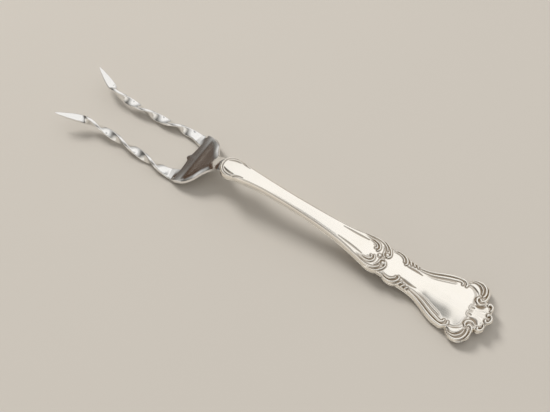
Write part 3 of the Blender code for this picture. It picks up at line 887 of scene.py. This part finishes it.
def twist_tree():
    """Geometry nodes that turn each tine of a flat blank about its own path."""
    tree = bpy.data.node_groups.new("Twist Tines", "GeometryNodeTree")
    face = tree.interface
    face.new_socket("Geometry", in_out="INPUT", socket_type="NodeSocketGeometry")
    face.new_socket("Full Turn", in_out="INPUT", socket_type="NodeSocketFloat")
    face.new_socket("Steel", in_out="INPUT", socket_type="NodeSocketMaterial")
    face.new_socket("Geometry", in_out="OUTPUT", socket_type="NodeSocketGeometry")
    start = Value(tree)
    source = tree.nodes.new("NodeGroupInput").outputs
    result = tree.nodes.new("NodeGroupOutput").inputs

    def kept(name, kind):
        node = "GeometryNodeInputNamedAttribute"
        return start.make(node, {"data_type": kind}, {"Name": name}, "Attribute")

    angle = kept("turn", "FLOAT") * Value(tree, source["Full Turn"])
    about = {"Vector": kept("offset", "FLOAT_VECTOR"), "Axis": kept("axis", "FLOAT_VECTOR"), "Angle": angle}
    turned = start.make("ShaderNodeVectorRotate", {"rotation_type": "AXIS_ANGLE"}, about)
    ends = {0: kept("path", "FLOAT_VECTOR"), 1: turned}
    placed = start.make("ShaderNodeVectorMath", {"operation": "ADD"}, ends)
    blank = Value(tree, source["Geometry"])
    moved = start.make("GeometryNodeSetPosition", inputs={"Geometry": blank, "Position": placed})
    real = start.make("GeometryNodeRealizeInstances", inputs={"Geometry": moved})
    finished = {"Geometry": real, "Material": Value(tree, source["Steel"])}
    start.feed(result["Geometry"], start.make("GeometryNodeSetMaterial", inputs=finished))
    return tree


def with_tree(blank, tree, name, values):
    """A plain mesh object from a blank and the geometry nodes that shape it."""
    modifier = blank.modifiers.new(tree.name, "NODES")
    modifier.node_group = tree
    for item in tree.interface.items_tree:
        if item.in_out == "INPUT" and item.name in values:
            modifier[item.identifier] = values[item.name]
    bpy.context.view_layer.update()
    shaped = blank.evaluated_get(bpy.context.evaluated_depsgraph_get())
    mesh = bpy.data.meshes.new_from_object(shaped)
    mesh.name = name
    blank.modifiers.remove(modifier)
    bpy.data.objects.remove(blank)
    return add_object(name, mesh)


def new_finish(name):
    """An empty finish: its material, its shader node and a value to start its tree from."""
    finish = bpy.data.materials.new(name)
    finish.use_nodes = True
    return finish, finish.node_tree.nodes["Principled BSDF"], Value(finish.node_tree)


def noise(vector, scale, detail):
    """Soft noise over a vector. The scale is how many clouds there are to each unit of it."""
    return vector.make("ShaderNodeTexNoise", inputs={"Vector": vector, "Scale": scale, "Detail": detail})


def rubbed_marks(start, per_metre):
    """Fine hair lines from polishing, along the fork, and soft clouds of handling."""
    coords = start.make("ShaderNodeTexCoord", output="Object")
    stretched = start.make("ShaderNodeMapping", inputs={"Vector": coords, "Scale": per_metre})
    return noise(stretched, 1.0, 2.0), noise(coords, CLOUDS_PER_METRE, 3.0)


def dress(start, shader, base_colour, roughness, height, strength, depth):
    """Feeds a shader its colour, its roughness and the small heights of its surface."""
    start.feed(shader.inputs["Base Color"], base_colour)
    start.feed(shader.inputs["Roughness"], roughness)
    bump = start.make("ShaderNodeBump", inputs={"Strength": strength, "Distance": depth, "Height": height})
    start.feed(shader.inputs["Normal"], bump)


def silver_finish(name, finish):
    """Polished silver, darkened in the grooves and hollows of its ornament by tarnish and by painted shade.
    """
    material, shader, start = new_finish(name)
    lines, clouds = rubbed_marks(start, SILVER_LINES_PER_METRE)
    # Read from the "groove" attribute: how far each point is darkened by tarnish and painted shade
    groove = start.make("ShaderNodeAttribute", {"attribute_name": "groove"}, output="Fac")
    uneven = clouds.between(0.2, 0.75) * TARNISH_AND_SHADE_CLOUDS + TARNISH_AND_SHADE_LEVEL
    tarnish_and_shade = (groove * uneven * finish.tarnish).between(*TARNISH_AND_SHADE_LIMITS)
    film = clouds.between(0.45, 0.8) * FILM_SHARE
    silver = film.mix((*finish.silver, 1), (*finish.silver_film, 1))
    rubbed = lines.between(0.4, 0.8) * SILVER_LINE_ROUGHNESS
    roughness = tarnish_and_shade * TARNISH_ROUGHNESS + finish.silver_roughness + rubbed
    shader.inputs["Metallic"].default_value = 1.0
    # The grooves and hollows take a dark warm colour: partly tarnish, partly painted shade and painted
    # reflection
    darkened = tarnish_and_shade.mix(silver, (*finish.tarnish_and_shade_colour, 1))
    dress(start, shader, darkened, roughness, lines, SILVER_LINE_BUMP, LINE_DEPTH)
    return material


def steel_finish(name, finish):
    """Stainless steel, polished along the tines."""
    material, shader, start = new_finish(name)
    lines, clouds = rubbed_marks(start, STEEL_LINES_PER_METRE)
    shade = clouds.between(0.35, 0.8) * STEEL_CLOUD_SHADE + lines.between(0.45, 0.8) * STEEL_LINE_SHADE
    steel = shade.mix((*finish.steel, 1), (*finish.steel_shade, 1))
    worn = lines.between(0.35, 0.8) * STEEL_LINE_ROUGHNESS + clouds.between(0.3, 0.8) * STEEL_CLOUD_ROUGHNESS
    shader.inputs["Metallic"].default_value = 1.0
    dress(start, shader, steel, worn + finish.steel_roughness, lines, STEEL_LINE_BUMP, LINE_DEPTH)
    return material


def cement_finish(name, finish):
    """Brown handle cement with a gritty grain."""
    material, shader, start = new_finish(name)
    grit = noise(start.make("ShaderNodeTexCoord", output="Object"), GRIT_PER_METRE, 4.0)
    cement = grit.between(0.3, 0.7).mix((*finish.cement, 1), (*finish.cement_grit, 1))
    roughness = grit * GRIT_ROUGHNESS + CEMENT_ROUGHNESS
    dress(start, shader, cement, roughness, grit, GRIT_BUMP, GRIT_DEPTH)
    return material


def floor_finish(name, stage):
    """Plain pale floor that keeps the fork's shadow."""
    material, shader, start = new_finish(name)
    cloud = noise(start.make("ShaderNodeTexCoord", output="Object"), FLOOR_CLOUDS_PER_METRE, 2.0)
    paler = tuple(min(1.0, FLOOR_CLOUD_GAIN * part) for part in stage.floor)
    start.feed(shader.inputs["Base Color"], cloud.mix((*stage.floor, 1), (*paler, 1)))
    shader.inputs["Roughness"].default_value = FLOOR_ROUGHNESS
    return material


def number(name, description, default, **kind):
    """A number on the panel, with its unit or subtype and its limits."""
    return bpy.props.FloatProperty(name=name, description=description, default=default, min=0, **kind)


def length(name, description, default):
    """A length on the panel."""
    return number(name, description, default, precision=5, unit="LENGTH")


def factor(name, description, default, high=1.0):
    """A share on the panel."""
    return number(name, description, default, max=high, subtype="FACTOR")


def colour(name, description, default):
    """A colour on the panel."""
    return bpy.props.FloatVectorProperty(name=name, description=description, default=default, size=3,
                                         min=0, max=1, subtype="COLOR")


class ForkHandleSizes(bpy.types.PropertyGroup):
    """Sizes of the struck half shells."""

    wall: length("Wall", "Thickness of the struck silver", 0.00055)
    seam_gap: length("Seam Gap", "Space between the two half shells", 0.0003)
    solder_thick: length("Solder", "Thickness of the solder in the seam", 0.00026)
    solder_margin: length("Solder Margin", "How far the solder lies in from the edges", 0.00004)
    edge_roll: length("Edge Roll", "Radius that the shell's edge is rolled over to the seam", 0.0006)
    lip_roll: length("Lip Roll", "Radius that the nose is rolled over to the mouth", 0.0009)
    relief: factor("Relief", "Height of the ornament against the drawn one", 0.72, 2.0)
    groove_depth: length("Groove Depth", "Depth of the grooves beside the ridges", 0.00026)
    groove_reach: length("Groove Width", "Width of the grooves beside the ridges", 0.0003)
    fine_step: length("Fine Step", "Spacing of the points in the ornament", 0.00012)


class ForkHeadSizes(bpy.types.PropertyGroup):
    """Sizes of the steel head."""

    full_turn: number("Full Turn", "How far each tine is twisted from root to blade",
                      math.radians(FULL_TURN), subtype="ANGLE")


class ForkFinishes(bpy.types.PropertyGroup):
    """Colours of the metals and the cement."""

    silver: colour("Silver", "Polished silver", (0.955, 0.912, 0.84))
    silver_film: colour("Silver Film", "Silver under a thin film of tarnish", (0.80, 0.725, 0.57))
    silver_roughness: factor("Silver Roughness", "Roughness of the polished silver", 0.13)
    # Darkening of the grooves: partly tarnish, partly painted shade and painted reflection
    tarnish: factor("Tarnish", "How dark the grooves are", 0.8)
    tarnish_and_shade_colour: colour("Tarnish Colour", "Darkened silver in the grooves", (0.18, 0.11, 0.045))
    steel: colour("Steel", "Polished steel", (0.90, 0.885, 0.86))
    steel_shade: colour("Steel Shade", "Steel in the hair lines of its polish", (0.74, 0.75, 0.75))
    steel_roughness: factor("Steel Roughness", "Roughness of the polished steel", 0.14)
    cement: colour("Cement", "Handle cement", (0.30, 0.22, 0.15))
    cement_grit: colour("Cement Grit", "Paler grit in the cement", (0.46, 0.37, 0.27))


class ForkStage(bpy.types.PropertyGroup):
    """Floor, light and camera."""

    floor: colour("Floor", "Pale floor", (0.53, 0.49, 0.435))
    floor_size: length("Floor Size", "Side of the square floor", 12.0)
    key_power: number("Key Light", "Power of the light from the side", 59.0, unit="POWER")
    top_power: number("Top Light", "Power of the light overhead", 6.2, unit="POWER")
    lens: number("Lens", "Focal length on a 36 mm sensor", 44.80, unit="CAMERA")


def take_finish(piece, material):
    """Gives a piece one finish all over."""
    piece.data.materials.clear()
    piece.data.materials.append(material)


def stand_for(piece, node):
    """Puts a finished piece in the place of a node of the packed model."""
    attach(piece, "root")
    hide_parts(node)


class FORK_OT_handle(bpy.types.Operator):
    """Build the two struck half shells of the handle and the solder between them"""

    bl_idname = "fork.handle"
    bl_label = "Handle Shells and Seam"

    def execute(self, context):
        sizes = context.scene.fork_handle
        finish = context.scene.fork_finishes
        plan = HandlePlan(sizes)
        silver = silver_finish("polished_silver", finish)
        for name, side in (("front", 1), ("back", -1)):
            piece = plan.shell(f"{name}_shell", side)
            take_finish(piece, silver)
            stand_for(piece, f"handle_{name}_shell")
        seam = plan.solder("seam", sizes.solder_margin / MM, sizes.solder_thick / MM)
        take_finish(seam, silver_finish("silver_solder", finish))
        stand_for(seam, "seam_solder")
        return {"FINISHED"}


class FORK_OT_head(bpy.types.Operator):
    """Build the steel head and twist its tines"""

    bl_idname = "fork.head"
    bl_label = "Steel Head"

    def execute(self, context):
        steel = steel_finish("polished_steel", context.scene.fork_finishes)
        values = {"Full Turn": context.scene.fork_head.full_turn, "Steel": steel}
        head = with_tree(HeadBlank().draw(), twist_tree(), "steel_head", values)
        head.data.set_sharp_from_angle(angle=SHARP_ANGLE)
        for name in ("path", "offset", "axis", "turn"):
            head.data.attributes.remove(head.data.attributes[name])
        stand_for(head, "fork_head")
        return {"FINISHED"}


class FORK_OT_core(bpy.types.Operator):
    """Give the cement core in the handle its finish"""

    bl_idname = "fork.core"
    bl_label = "Cement Core"

    def execute(self, context):
        cement = cement_finish("handle_cement", context.scene.fork_finishes)
        take_finish(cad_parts["handle_cement"], cement)
        return {"FINISHED"}


class FORK_OT_stage(bpy.types.Operator):
    """Set the floor, the soft light and the camera"""

    bl_idname = "fork.stage"
    bl_label = "Stage"

    key_light = {"place": (1.98, -0.78, 1.80), "size": 0.96}
    top_light = {"place": (0.15, -1.12, 2.20), "size": 3.25}
    camera_place = (-0.07057, 0.10524, 0.22316)
    camera_turn = (math.radians(90 - 60.68), 0.0, math.radians(212.47))
    sensor_mm = 36.0
    nearest_view = 0.01

    # Sky: colours from the horizon up to its brightest place
    brightest = (-0.12, -0.48, 0.869)
    glow = [(0.0, (0.11, 0.107, 0.10, 1)), (0.2, (0.14, 0.137, 0.13, 1)), (0.36, (0.26, 0.255, 0.245, 1)),
            (0.5, (0.43, 0.425, 0.415, 1)), (0.66, (0.69, 0.685, 0.675, 1)), (1.0, (0.79, 0.785, 0.775, 1))]

    # Places in the sky with a shade of their own: a pale fill in front, a dim warm end and a dark spot. Each
    # is a direction, the cosines of the angles where its shade starts and where it is full, and the shade
    shades = [((0, 1, 0), (0.6, 0.93), (0.9, 0.87, 0.82, 1)),
              ((1, 0, 0), (0.85, 0.92), (0.085, 0.053, 0.036, 1)),
              ((-0.018, -0.272, 0.9621), (0.992, 0.9968), (0.02, 0.022, 0.02, 1))]

    def execute(self, context):
        stage = context.scene.fork_stage
        self.lay_floor(stage)
        self.hang_light("key_light", self.key_light, stage.key_power).visible_glossy = False
        self.hang_light("top_light", self.top_light, stage.top_power)
        self.light_room(context.scene)
        self.stand_camera(context.scene, stage)
        context.scene.view_settings.view_transform = "Standard"
        return {"FINISHED"}

    def lay_floor(self, stage):
        """A plain square floor under the fork."""
        half = stage.floor_size / 2
        mesh = bpy.data.meshes.new("floor")
        corners = [(-half, -half, 0), (half, -half, 0), (half, half, 0), (-half, half, 0)]
        mesh.from_pydata(corners, [], [(0, 1, 2, 3)])
        mesh.materials.append(floor_finish("pale_floor", stage))
        add_object("floor", mesh)

    def hang_light(self, name, setting, power):
        """A round soft light that faces the fork."""
        lamp = bpy.data.lights.new(name, "AREA")
        lamp.shape = "DISK"
        lamp.size = setting["size"]
        lamp.energy = power
        light = add_object(name, lamp)
        light.location = setting["place"]
        light.rotation_euler = Vector(setting["place"]).to_track_quat("Z", "Y").to_euler()
        return light

    def light_room(self, scene):
        """A sky that is bright overhead and dim towards the horizon, with a few places of other shades."""
        world = bpy.data.worlds.new("soft_room")
        world.use_nodes = True
        start = Value(world.node_tree)
        direction = start.make("ShaderNodeTexCoord", output="Generated")
        up = direction.along(self.brightest)
        sky = start.make("ShaderNodeValToRGB", {"stops": self.glow}, {"Fac": up})
        for place, limits, shade in self.shades:
            sky = direction.along(place).between(*limits).mix(sky, shade)
        start.feed(world.node_tree.nodes["Background"].inputs["Color"], sky)
        scene.world = world

    def stand_camera(self, scene, stage):
        """A camera that sees the fork as it was photographed."""
        eye = bpy.data.cameras.new("camera")
        eye.lens = stage.lens
        eye.sensor_width = self.sensor_mm
        eye.clip_start = self.nearest_view
        camera = add_object("camera", eye)
        camera.location = self.camera_place
        camera.rotation_euler = self.camera_turn
        scene.camera = camera


class FORK_PT_panel(bpy.types.Panel):
    """Sizes, finishes and operators of the potato fork"""

    bl_idname = "FORK_PT_panel"
    bl_label = "Potato Fork"
    bl_space_type = "VIEW_3D"
    bl_region_type = "UI"
    bl_category = "Fork"

    def draw(self, context):
        for operator in OPERATORS:
            self.layout.operator(operator.bl_idname)
        for name, group in GROUPS.items():
            box = self.layout.box()
            box.label(text=group.__doc__)
            for prop in group.__annotations__:
                box.prop(getattr(context.scene, name), prop)


OPERATORS = (FORK_OT_stage, FORK_OT_handle, FORK_OT_head, FORK_OT_core)
GROUPS = {"fork_handle": ForkHandleSizes, "fork_head": ForkHeadSizes, "fork_finishes": ForkFinishes,
          "fork_stage": ForkStage}
CLASSES = (*GROUPS.values(), *OPERATORS, FORK_PT_panel)


def register():
    for cls in CLASSES:
        bpy.utils.register_class(cls)
    for name, group in GROUPS.items():
        setattr(bpy.types.Scene, name, bpy.props.PointerProperty(type=group))


def unregister():
    for name in GROUPS:
        delattr(bpy.types.Scene, name)
    for cls in reversed(CLASSES):
        bpy.utils.unregister_class(cls)


def main():
    """Builds the stage and the fork."""
    register()
    bpy.ops.fork.stage()
    bpy.ops.fork.handle()
    bpy.ops.fork.head()
    bpy.ops.fork.core()


if __name__ == "__main__":
    main()
